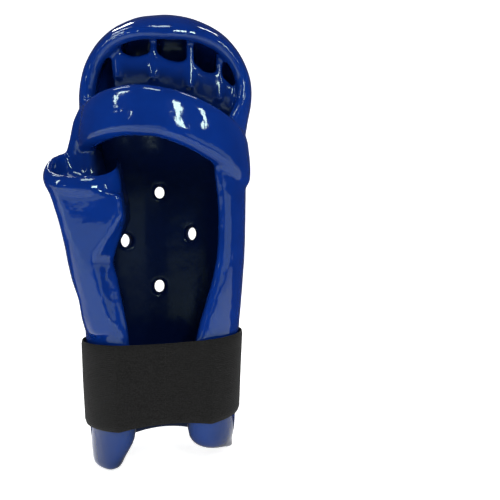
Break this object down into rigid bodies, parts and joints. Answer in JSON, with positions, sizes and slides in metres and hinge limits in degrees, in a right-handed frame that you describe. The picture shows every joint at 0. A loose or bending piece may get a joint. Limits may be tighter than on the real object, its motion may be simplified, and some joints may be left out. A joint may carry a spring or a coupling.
{
  "type": "hand and forearm guard",
  "caption": "Dipped foam sparring guard for hand and forearm, with a finger hood, palm bar, thumb sheath and an elastic wrist strap that peels open.",
  "frame": {"origin": "centre of the footprint, on the plane of the elbow end", "axes": "+Z from the elbow end to the fingertips, -Y towards the palm side, -X towards the thumb"},
  "size_m": [0.1451, 0.095, 0.3339],
  "materials": {
    "vinyl": "glossy royal blue dipped vinyl",
    "foam": "closed-cell foam",
    "elastic": "black woven elastic with fine ribs",
    "pile_tape": "fuzzy black loop pile",
    "hook_tape": "black nylon hooks",
    "thread": "black sewing thread"
  },
  "bodies": {
    "guard": {"shell_foam": "foam", "shell_skin": "vinyl", "palm_bar_foam": "foam", "palm_bar_skin": "vinyl", "finger_bar_foam": "foam", "finger_bar_skin": "vinyl", "finger_divider_1": "vinyl", "finger_divider_2": "vinyl", "finger_divider_3": "vinyl", "finger_divider_4": "vinyl", "thumb_foam": "foam", "thumb_skin": "vinyl", "strap_band": "elastic", "band_hem": "elastic", "loop_tape": "pile_tape", "hem_stitching": "thread"},
    "palm_span": {"strap_palm_span": "elastic"},
    "side_span": {"strap_side_span": "elastic"},
    "tail": {"strap_tail": "elastic", "hook_tape": "hook_tape", "tail_tip_stitching": "thread", "tail_tape_stitching": "thread"}
  },
  "joints": [
    {"name": "strap_swing", "type": "hinge", "parent": "guard", "child": "palm_span", "pos_m": [-0.02365, -0.03879, 0.0618], "axis": [0.0224, 0.0402, -0.9989], "range_deg": [0, 45]},
    {"name": "strap_unwrap", "type": "hinge", "parent": "palm_span", "child": "side_span", "pos_m": [0.04115, -0.0354, 0.06439], "axis": [-0.0251, 0.0374, -0.999], "range_deg": [0, 90]},
    {"name": "tail_peel", "type": "hinge", "parent": "side_span", "child": "tail", "pos_m": [0.05627, 0.01918, 0.065], "axis": [-0.036, -0.0072, -0.9993], "range_deg": [0, 110]}
  ],
  "couplings": [
    {"joint": "strap_unwrap", "follows": "strap_swing", "ratio": 2}
  ]
}
